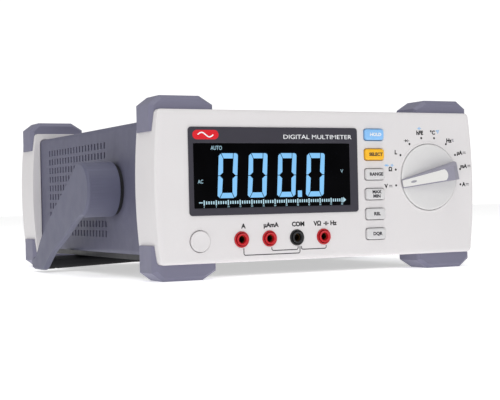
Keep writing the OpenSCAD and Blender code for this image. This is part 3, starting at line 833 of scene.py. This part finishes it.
def display_content():
    """Digits, decimal point, bargraph and words on the display."""
    glass = WINDOW_LOW.y
    mid_x = (WINDOW_LOW.x + WINDOW_HIGH.x) / 2
    mid_z = (WINDOW_LOW.z + WINDOW_HIGH.z) / 2
    pitch = 20.1 * MM
    digits = []
    for i in range(4):
        digits += zero_segments(mid_x - 31.56 * MM + i * pitch, mid_z - 0.1 * MM)
    point_x = mid_x + 17.5 * MM
    point_z = mid_z - 11.7 * MM
    half = 1.45 * MM
    digits.append(rect(point_x - half, point_z - 2 * MM, point_x + half, point_z + 2 * MM))
    plates("display_digits", digits, glass, LIT_BLUE)

    intervals = 12
    interval = 7.92 * MM
    start_x = mid_x - 47.45 * MM
    base_z = mid_z - 16.0 * MM
    ticks = []
    for i in range(intervals * 5 + 1):
        x = start_x + i * interval / 5
        tall = 1.65 * MM if i % 5 == 0 else 1.0 * MM
        wide = 0.4 * MM
        ticks.append(rect(x - wide, base_z - tall, x + wide, base_z + tall * 0.8))
    minus = start_x - 3.3 * MM
    ticks.append(rect(minus, base_z - 0.3 * MM, minus + 2.4 * MM, base_z + 0.3 * MM))
    end = start_x + intervals * interval + 0.9 * MM
    ticks.append([(end, base_z - 1.7 * MM), (end + 2.1 * MM, base_z), (end, base_z + 1.7 * MM)])
    plates("display_bargraph", ticks, glass, LIT_PALE)

    words = [(text, mid_x + dx * MM, mid_z + dz * MM, tall * MM, {"weight": weight, "widen": widen})
             for text, dx, dz, tall, weight, widen in [("AUTO", -38.7, 16.4, 2.4, 0.01, 0.78),
                                                       ("AC", -49.5, -3.6, 2.2, 0.015, 0.82),
                                                       ("V", 47.9, 1.9, 2.2, 0.0, 1.0)]]
    for i in range(intervals + 1):
        words.append((str(i * 5), start_x + i * interval, base_z - 2.6 * MM, 1.0 * MM, {}))
    lettering("display_words", words, glass, LIT_DIM)


def display_badge():
    """A plain red badge with a sine wave, and the instrument's kind, on the surround's upper strip."""
    face = SURROUND_LOW.y
    left = SURROUND_LOW.x + 2.7 * MM
    low = SURROUND_HIGH.z - 7.5 * MM
    width = 17 * MM
    height = 5.6 * MM
    field = rounded_rect(left, low, left + width, low + height, height / 2 * 0.99)
    plates("badge_field", [field], face, INK_RED)
    steps = 24
    reach = width * 0.3
    wave = [(left + width / 2 + reach * (2 * i / steps - 1),
             low + height / 2 + 1.35 * MM * math.sin(math.tau * i / steps)) for i in range(steps + 1)]
    plates("badge_wave", [stroke(wave, 0.75 * MM)], face - PRINT, INK_WHITE)
    title = [("DIGITAL MULTIMETER", SURROUND_HIGH.x - 4.3 * MM, SURROUND_HIGH.z - 5.9 * MM, 2.6 * MM,
              {"align": "RIGHT", "weight": 0.006, "widen": 1.34})]
    lettering("surround_title", title, face, INK_WHITE)


# ---- jacks ----

def jack_housing(name, slot):
    """A shrouded 4 mm jack: a set-back rim, a narrow groove and an inner tube round the brass sleeve."""
    low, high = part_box("jack_housing_" + name)
    centre = middle("jack_housing_" + name)
    tip = low.y
    back = high.y
    rim = (high.x - low.x) / 2
    rim_face = FRONT - 0.7 * MM
    groove = 4.1 * MM
    tube = 3.7 * MM
    mouth = 2.3 * MM
    sleeve = 2.72 * MM
    soft = 0.2 * MM
    floor = FRONT + 16 * MM
    seat = FRONT + 0.9 * MM
    profile = [
        (sleeve, back), (rim, back), (rim, rim_face + soft * 2), (rim - soft * 0.4, rim_face + soft * 0.6),
        (rim - soft, rim_face), (groove + soft * 0.5, rim_face), (groove, rim_face + soft), (groove, floor),
        (tube, floor), (tube, tip + soft * 2), (tube - soft * 0.4, tip + soft * 0.6), (tube - soft, tip),
        (mouth + soft * 3.2, tip), (mouth + soft * 2.2, tip + soft * 0.5), (mouth, tip + soft * 3.5),
        (mouth, seat), (sleeve, seat),
    ]
    housing = lathe("jack_shroud_" + name, profile, Vector((centre.x, 0, centre.z)), segments=64)
    shade(housing, 40)
    finish(housing, "case", slot, "jack_housing_" + name)


def panel_print():
    """Captions of the jacks and the lines that join them."""
    where = {name: middle("jack_housing_" + name) for name, _ in JACKS}
    above = 8.5 * MM
    size = 2.7 * MM
    z = where["a"].z + above
    bold = {"weight": 0.045}
    captions = [("a", "A", 1.3, -0.6), ("ma", "µAmA", 1.0, -0.4), ("com", "COM", 1.0, -0.4),
                ("v", "VΩ", -4.3, -0.4), ("v", "Hz", 7.1, -0.4)]
    items = [(text, where[name].x + dx * MM, z + dz * MM, size, bold) for name, text, dx, dz in captions]
    lettering("jack_captions", items, FRONT, INK_BLACK)
    line = 0.55 * MM
    symbol = capacitor(where["v"].x + 1.9 * MM, z - 0.4 * MM, 1.25 * MM, line)
    plates("jack_caption_capacitor", symbol, FRONT, INK_BLACK)
    routes = [("a", "com", 14.0 * MM, 1.3 * MM, 1.9 * MM), ("ma", "com", 16.2 * MM, 1.3 * MM, 0.6 * MM),
              ("com", "v", 16.2 * MM, 2.9 * MM, 1.6 * MM)]
    for i, (start, stop, low, shift_left, shift_right) in enumerate(routes):
        left = where[start].x + shift_left
        right = where[stop].x + shift_right
        bend = 1.2 * MM
        top = 18.2 * MM
        path = ([(left, top)] + arc(left + bend, low + bend, bend, 180, 270, 5)
                + arc(right - bend, low + bend, bend, 270, 360, 5) + [(right, top)])
        plates("jack_line_" + str(i), [stroke(path, line)], FRONT, INK_DARK)


def capacitor(x, z, half, line):
    """Outlines of a small capacitor symbol."""
    gap = half * 0.35
    bars = [[(x + s * gap, z - half), (x + s * gap, z + half)] for s in (-1, 1)]
    leads = [[(x + s * gap, z), (x + s * (gap + half * 1.2), z)] for s in (-1, 1)]
    return [stroke(points, line) for points in bars + leads]


# ---- keys ----

def key(name, caption, ink_used, slot):
    """A key cap with soft edges and a faint crown, its collar behind the panel and its stem."""
    centre = middle("button_" + name)
    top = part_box("button_" + name)[0].y
    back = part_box("button_" + name)[1].y

    def ring(half_w, half_h, y):
        return at(key_outline(centre, half_w, half_h), y)

    w = KEY_HALF_W
    h = KEY_HALF_H
    collar = WALL + CLEARANCE
    lips = [(1.25, 0.0), (0.8, 0.05), (0.45, 0.2), (0.2, 0.45), (0.07, 0.85), (0.0, 1.5)]
    collar_back = FRONT + collar + 1.3 * MM
    brim = 1.2 * MM
    rings = [ring(1.6 * MM, 1.5 * MM, back), ring(1.6 * MM, 1.5 * MM, collar_back),
             ring(w + brim, h + brim, collar_back), ring(w + brim, h + brim, FRONT + collar),
             ring(w, h, FRONT + collar)]
    rings += [ring(w - inset * MM, h - inset * MM, top + deep * MM) for deep, inset in lips]
    cap = loft("key_cap_" + name, rings)
    shade(cap, 40)
    finish(cap, "key_" + name, slot, "button_" + name)
    items = []
    for i, line in enumerate(caption):
        drop = (i - (len(caption) - 1) / 2) * 2.7 * MM
        items.append((line, centre.x + 0.5 * MM, centre.z - drop, 1.95 * MM, {"weight": 0.045, "widen": 1.1}))
    lettering("key_caption_" + name, items, top, ink_used, "key_" + name)


def power_key():
    """The round power key, softly dished, with its long stem to the switch."""
    low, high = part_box("power_button")
    centre = middle("power_button")
    radius = (high.x - low.x) / 2
    stem = 1.9 * MM
    base = FRONT + WALL + 4 * MM
    dish = [(0, 0.45), (2.2, 0.4), (4.2, 0.22), (5.3, 0.02), (5.8, 0.03), (6.06, 0.16)]
    profile = [(reach * MM, low.y + deep * MM) for reach, deep in dish]
    profile += [(radius, low.y + 0.45 * MM), (radius, base), (stem, base), (stem, high.y), (0, high.y)]
    cap = lathe("power_key_cap", profile, Vector((centre.x, 0, centre.z)))
    shade(cap, 40)
    finish(cap, "power_key", "power_key_plastic", "power_button")


# ---- dial ----

POINTER = math.radians(191.25)       # direction of the pointer at rest, from +X towards +Z
DIAL_DOTS = 25.9 * MM


def on_dial(along, across):
    """A place on the dial: along the pointer and square to it."""
    x = DIAL.x + along * math.cos(POINTER) - across * math.sin(POINTER)
    z = DIAL.z + along * math.sin(POINTER) + across * math.cos(POINTER)
    return x, z


def dial_plate():
    """The dial's disc: a rounded rim round a shallow dish."""
    low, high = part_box("dial_disc")
    face = low.y
    back = high.y
    rim = DIAL_RADIUS
    dish = [(3, 0.5), (10, 0.48), (15, 0.36), (18.5, 0.16), (20, 0.03), (20.5, 0), (21, 0.06)]
    profile = [(3 * MM, back)] + [(radius * MM, face + deep * MM) for radius, deep in dish]
    profile += [(rim - 0.12 * MM, face + 0.22 * MM), (rim, face + 0.5 * MM), (rim, back)]
    plate = lathe("dial_plate", profile, Vector((DIAL.x, 0, DIAL.z)), segments=120)
    shade(plate, 40)
    finish(plate, "dial", "dial_grey", "dial_disc")


def refined(node, body, slot, width, segments=2, angle=30):
    """A copy of a CAD node with its edges rounded, standing for the node."""
    source = NODES[node].data
    mesh = bpy.data.meshes.new(node)
    corners = [tuple(vertex.co) for vertex in source.vertices]
    mesh.from_pydata(corners, [], [tuple(face.vertices) for face in source.polygons])
    work = bmesh.new()
    work.from_mesh(mesh)
    bmesh.ops.remove_doubles(work, verts=work.verts, dist=0.004 * MM)
    bmesh.ops.dissolve_limit(work, angle_limit=math.radians(0.6), verts=work.verts, edges=work.edges)
    work.to_mesh(mesh)
    work.free()
    piece = add_object(node + "_finish", mesh)
    round_edges(piece, width, segments, angle)
    shade(piece, 40)
    finish(piece, body, slot, node)


def dial_mark():
    """The small grey oval sunk in the white insert near the pointer's tip."""
    slope = math.atan(10.2 / 34.3)   # fall of the grip's top towards the pointer's tip
    high_end = -12.5 * MM            # where along the pointer that fall starts
    reach = 14.6 * MM
    half_length = 1.9 * MM
    half_across = 0.75 * MM
    sunk = 0.15 * MM
    plan = [(reach + half_length * math.cos(a), half_across * math.sin(a))
            for a in [math.tau * i / 20 for i in range(20)]]
    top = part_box("dial_grip")[0].y
    lift = 0.05 * MM
    points = []
    for height in (lift, -0.2 * MM):
        for along, across in plan:
            x, z = on_dial(along, across)
            y = top + (along - high_end) * math.tan(slope) - (sunk + height) / math.cos(slope)
            points.append(Vector((x, y, z)))
    count = len(plan)
    mark = loft("dial_mark", [points[:count], points[count:]])
    place(mark, "dial", INK_GREY)


def dial_print():
    """Dots and captions of the ten positions."""
    dots = []
    for i in range(10):
        angle = POINTER - math.radians(22.5) * i
        x = DIAL.x + DIAL_DOTS * math.cos(angle)
        z = DIAL.z + DIAL_DOTS * math.sin(angle)
        dots.append((x, z))
    plates("dial_dots", [arc(x, z, 0.72 * MM, 0, 345, 23) for x, z in dots], FRONT, INK_BLACK)

    def near(i, dx, dz):
        return dots[i][0] + dx * MM, dots[i][1] + dz * MM

    size = 2.5 * MM
    bold = {"weight": 0.05}
    plain = {}
    captions = [("V", 0, -7.6, -0.5), ("Ω", 1, -4.1, 0.2), ("L", 2, -3.6, 1.7), ("hFE", 4, -1.2, 3.3),
                ("°C", 5, -1.2, 3.5), ("Hz", 6, 2.4, 2.2), ("µA", 7, 3.6, 1.3), ("mA", 8, 2.9, 1.8),
                ("A", 9, 2.7, -0.1)]
    black = [(text, *near(i, dx, dz), size, bold) for text, i, dx, dz in captions]
    lettering("dial_captions", black, FRONT, INK_BLACK)
    lettering("dial_captions_grey", [("%", *near(6, 5.6, 2.4), size * 0.75, plain)], FRONT, INK_GREY)
    kinds = []
    for i, dx, dz in [(0, -4.1, -0.4), (7, 7.4, 1.4), (8, 7.3, 2.0), (9, 5.6, 0.0)]:
        kinds += direct_or_alternating(*near(i, dx, dz), 1.2 * MM, 0.42 * MM)
    plates("dial_captions_kinds", kinds, FRONT, INK_DARK)
    blue = [("°F", *near(5, 2.7, 3.9), size * 0.85, plain)]
    lettering("dial_captions_blue", blue, FRONT, INK_BLUE)
    line = 0.3 * MM
    x, z = near(3, -2.2, 2.1)
    plates("dial_caption_diode", diode(x, z, 1.0 * MM, line), FRONT, INK_BLACK)
    x, z = near(1, -5.2, 2.8)
    symbols = diode(x - 1.6 * MM, z, 0.9 * MM, line) + capacitor(x + 2.4 * MM, z, 0.8 * MM, line)
    plates("dial_caption_buzzer", symbols, FRONT, INK_BLUE)
    x, z = near(4, -1.5, 6.2)
    plates("dial_caption_capacitor", capacitor(x, z, 1.0 * MM, line), FRONT, INK_BLUE)


def direct_or_alternating(x, z, half, line):
    """Outlines of a bar over three dashes."""
    top = stroke([(x - half, z + 1.1 * line), (x + half, z + 1.1 * line)], line)
    dash = half * 0.5
    return [top] + [stroke([(x + k * half * 0.75 - dash / 2, z - 1.1 * line),
                            (x + k * half * 0.75 + dash / 2, z - 1.1 * line)], line) for k in (-1, 0, 1)]


def diode(x, z, half, line):
    """Outlines of a small diode symbol."""
    body = [(x - half, z - half), (x + half * 0.7, z), (x - half, z + half)]
    bar = stroke([(x + half * 0.85, z - half), (x + half * 0.85, z + half)], line)
    leads = [stroke([(x + side * half, z), (x + side * half * 2.1, z)], line) for side in (-1, 1)]
    return [body, bar] + leads


# ---- handle ----

HUB_RADIUS = 17.7 * MM
ARM_THICKNESS = 3.6 * MM


def arm_outline():
    """Side view of a handle arm about its pivot, as (back, up) points listed counter-clockwise."""
    lower = [(14.6, -23.0), (30.3, -30.3), (44.9, -36.2), (55.3, -40.3), (66, -46.2), (75.5, -52.2),
             (82, -54.3), (100, -54.3)]
    upper = [(97.5, -44.9), (93.4, -40.2), (82.7, -29.9), (68.4, -20.3), (50.8, -9.6), (21.4, 7.2),
             (13.5, 11.6)]
    hub = [(x / MM, z / MM) for x, z in arc(0, 0, HUB_RADIUS, 66, 250, 30)]
    below = smooth_through([hub[-1], (2.2, -17.9)] + lower, 7)
    foot = arc(103.6, -50.9, 3.4, -90, 0, 4) + arc(103.6, -48.9, 3.4, 0, 90, 4)
    above = smooth_through([foot[-1]] + upper + [hub[0]], 7)
    outline = hub[:-1] + below[:-1] + foot[:-1] + above[:-1]
    return [(x * MM, z * MM) for x, z in outline]


def handle_arm(side, name):
    """A handle arm: a slab with a broad bevel round its outer face, and its round hub."""
    low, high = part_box(name)
    outer = max(abs(low.x), abs(high.x))
    hub_end = min(abs(low.x), abs(high.x))
    inner = outer - ARM_THICKNESS
    outline = arm_outline()
    levels = [(inner, 0.6), (inner + 0.15 * MM, 0.2), (inner + 0.5 * MM, 0.0), (outer - 1.5 * MM, 0.0),
              (outer - 1.25 * MM, 0.1), (outer - 0.2 * MM, 1.05), (outer, 1.4)]
    rings = []
    for x, inset in levels:
        ring = pulled_in(outline, inset * MM)
        rings.append([Vector((side * x, PIVOT.y + back, PIVOT.z + up)) for back, up in ring])
    slab = loft(name + "_slab", rings)
    soft = 0.5 * MM
    centre = Vector((0, PIVOT.y, PIVOT.z))
    bore = 8.05 * MM
    bore_end = hub_end + 8.5 * MM
    root = inner + 1 * MM
    mouth = hub_end - 1 * MM
    boss = [(bore, hub_end), (HUB_RADIUS - soft, hub_end), (HUB_RADIUS - soft * 0.3, hub_end + soft * 0.3),
            (HUB_RADIUS, hub_end + soft), (HUB_RADIUS, root), (bore, root)]
    socket = [(0, mouth), (bore, mouth), (bore, bore_end), (0, bore_end)]
    for profile, operation in ((boss, "UNION"), (socket, "DIFFERENCE")):
        part = lathe("hub", [(radius, side * along) for radius, along in profile], centre, "X", 96)
        combine(slab, part, operation)
    shade(slab, 32)
    finish(slab, "handle", "handle_plastic", name)


def crossbar():
    """The bar between the arms' feet: a soft-cornered grip, waisted below, with two fine grooves."""
    low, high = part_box("handle_crossbar")
    end = high.x
    waist = 2.4 * MM
    waist_x = 60 * MM

    def ring(x, grow):
        rise = waist * min(1, (end - abs(x)) / (end - waist_x))
        outline = rounded_rect(low.y - grow, low.z + rise - grow, high.y + grow, high.z + grow,
                               3 * MM + grow, 6)
        return [Vector((x, y, z)) for y, z in outline]

    groove = end - 9 * MM
    half = 0.5 * MM
    deep = -0.35 * MM
    right = [(waist_x, 0), (groove - 2 * half, 0), (groove - half, deep), (groove + half, deep),
             (groove + 2 * half, 0), (end, 0)]
    levels = [(-x, grow) for x, grow in reversed(right)] + right
    bar = loft("handle_grip_bar", [ring(x, grow) for x, grow in levels])
    shade(bar, 50)
    # The bar's near-black colour is partly its grip and partly painted shade from the case above it.
    finish(bar, "handle", "bar_plastic", "handle_crossbar")


def pivot_pad(side):
    """The low soft ring that the cover rises to round a pivot."""
    inner = 16 * MM
    outer = 28 * MM
    height = 0.5 * MM
    steps = 14
    wall = COVER_HIGH.x
    profile = [(inner, side * (wall - 0.3 * MM))]
    for i in range(steps + 1):
        swell = (1 - math.cos(math.tau * (0.25 + 0.75 * i / steps))) / 2
        profile.append((inner + (outer - inner) * i / steps, side * (wall + height * swell - 0.01 * MM)))
    profile.append((outer, side * (wall - 0.3 * MM)))
    name = "cover_pad_left" if side < 0 else "cover_pad_right"
    pad = lathe(name, profile, Vector((0, PIVOT.y, PIVOT.z)), "X", 96)
    shade(pad, 50)
    finish(pad, "case", "case_plastic")


# ---- everything that keeps its CAD shape ----

def paint_cad_nodes():
    """Gives every CAD node the finish of its slot."""
    for obj in NODES.values():
        for holder in obj.material_slots:
            name = holder.material.name.split(".")[0]
            holder.material = MATERIALS[name]


# ---- build ----

paint_cad_nodes()
front_frame()
dial_ring()
rear_frame()
for node in NODES:
    if node.startswith("bumper_"):
        bumper(node)
display_surround()
display_content()
display_badge()
for jack, jack_slot in JACKS:
    jack_housing(jack, jack_slot)
panel_print()
key("hold", ["HOLD"], INK_WHITE, "key_blue")
key("select", ["SELECT"], INK_DARK, "key_yellow")
for white_key, caption in [("range", ["RANGE"]), ("max_min", ["MAX", "MIN"]), ("rel", ["REL"]),
                           ("dqr", ["DQR"])]:
    key(white_key, caption, INK_DARK, "key_white")
power_key()
dial_plate()
refined("dial_grip", "dial", "dial_violet", 0.5 * MM, 3, 20)
refined("dial_inlay", "dial", "dial_white", 0.15 * MM)
dial_mark()
dial_print()
handle_arm(-1, "handle_arm_left")
handle_arm(1, "handle_arm_right")
crossbar()
pivot_pad(-1)
pivot_pad(1)
for node, node_slot, width in [
        ("bottom_tray", "black_plastic", 0.3), ("rear_panel", "rear_panel_plastic", 0.35),
        ("power_inlet", "black_plastic", 0.35), ("inlet_fuse_drawer", "black_plastic", 0.3),
        ("inlet_pins", "brass", 0.3), ("rear_screws", "steel", 0.15), ("tray_screws", "steel", 0.15)]:
    refined(node, "case", node_slot, width * MM)


# ---- floor, light and camera ----

def studio():
    """A pale floor, an even white surround and large soft lamps."""
    size = 6.0
    mesh = bpy.data.meshes.new("floor")
    corners = [(-size, -size, 0), (size, -size, 0), (size, size, 0), (-size, size, 0)]
    mesh.from_pydata(corners, [], [(0, 1, 2, 3)])
    floor = add_object("floor", mesh)
    gap = 0.05 * MM
    floor.location.z = cad_box[0].z - gap
    recipe = Recipe("floor_paint")
    patches = recipe.noise(0.4, 2.0)
    paint = recipe.colours(patches, [(0.3, (0.93, 0.93, 0.93, 1)), (0.7, (0.95, 0.95, 0.95, 1))])
    recipe.feed("Base Color", paint)
    recipe.set(Roughness=0.9, Specular_IOR_Level=0.1, Emission_Color=(1, 1, 1, 1), Emission_Strength=0.52)
    mesh.materials.append(recipe.material)

    world = bpy.data.worlds.new("studio")
    world.use_nodes = True
    tree = world.node_tree
    seen = tree.nodes.new("ShaderNodeLightPath").outputs["Is Camera Ray"]
    strength = tree.nodes.new("ShaderNodeMapRange")
    ambient = 0.45
    backdrop = 1.1
    strength.inputs["To Min"].default_value = ambient
    strength.inputs["To Max"].default_value = backdrop
    tree.links.new(seen, strength.inputs["Value"])
    sky = tree.nodes["Background"]
    sky.inputs["Color"].default_value = (1, 1, 1, 1)
    tree.links.new(strength.outputs["Result"], sky.inputs["Strength"])
    scene.world = world

    target = (cad_box[0] + cad_box[1]) / 2
    lamps = [("key", (-0.7, -1.9, 1.3), 1.0, 7.0), ("top", (-0.3, -0.5, 2.0), 1.4, 12),
             ("side", (-2.0, -0.6, 0.9), 1.0, 1.5)]
    for name, spot, width, power in lamps:
        data = bpy.data.lights.new(name, "AREA")
        data.size = width
        data.energy = power
        lamp = bpy.data.objects.new(name, data)
        lamp.location = spot
        lamp.rotation_euler = (target - Vector(spot)).to_track_quat("-Z", "Y").to_euler()
        scene.collection.objects.link(lamp)


def camera():
    """The photograph's viewpoint: in front of the left half, looking across the panel to the right."""
    yaw = math.radians(26.80)
    pitch = math.radians(-0.136)
    roll = math.radians(1.289)
    ahead = Vector((math.sin(yaw) * math.cos(pitch), math.cos(yaw) * math.cos(pitch), -math.sin(pitch)))
    level = Vector((math.cos(yaw), -math.sin(yaw), 0))
    down = ahead.cross(level)
    right = math.cos(roll) * level + math.sin(roll) * down
    below = math.cos(roll) * down - math.sin(roll) * level
    turn = Matrix((right, -below, -ahead)).transposed()
    data = bpy.data.cameras.new("camera")
    data.lens = 86.71
    data.sensor_width = 36
    data.clip_start = 0.05
    view = bpy.data.objects.new("camera", data)
    eye = (-380.3 * MM, FRONT - 648.65 * MM, 45.5 * MM)
    view.matrix_world = Matrix.Translation(eye) @ turn.to_4x4()
    scene.collection.objects.link(view)
    scene.camera = view


studio()
camera()
scene.view_settings.view_transform = "Standard"

bpy.context.view_layer.update()
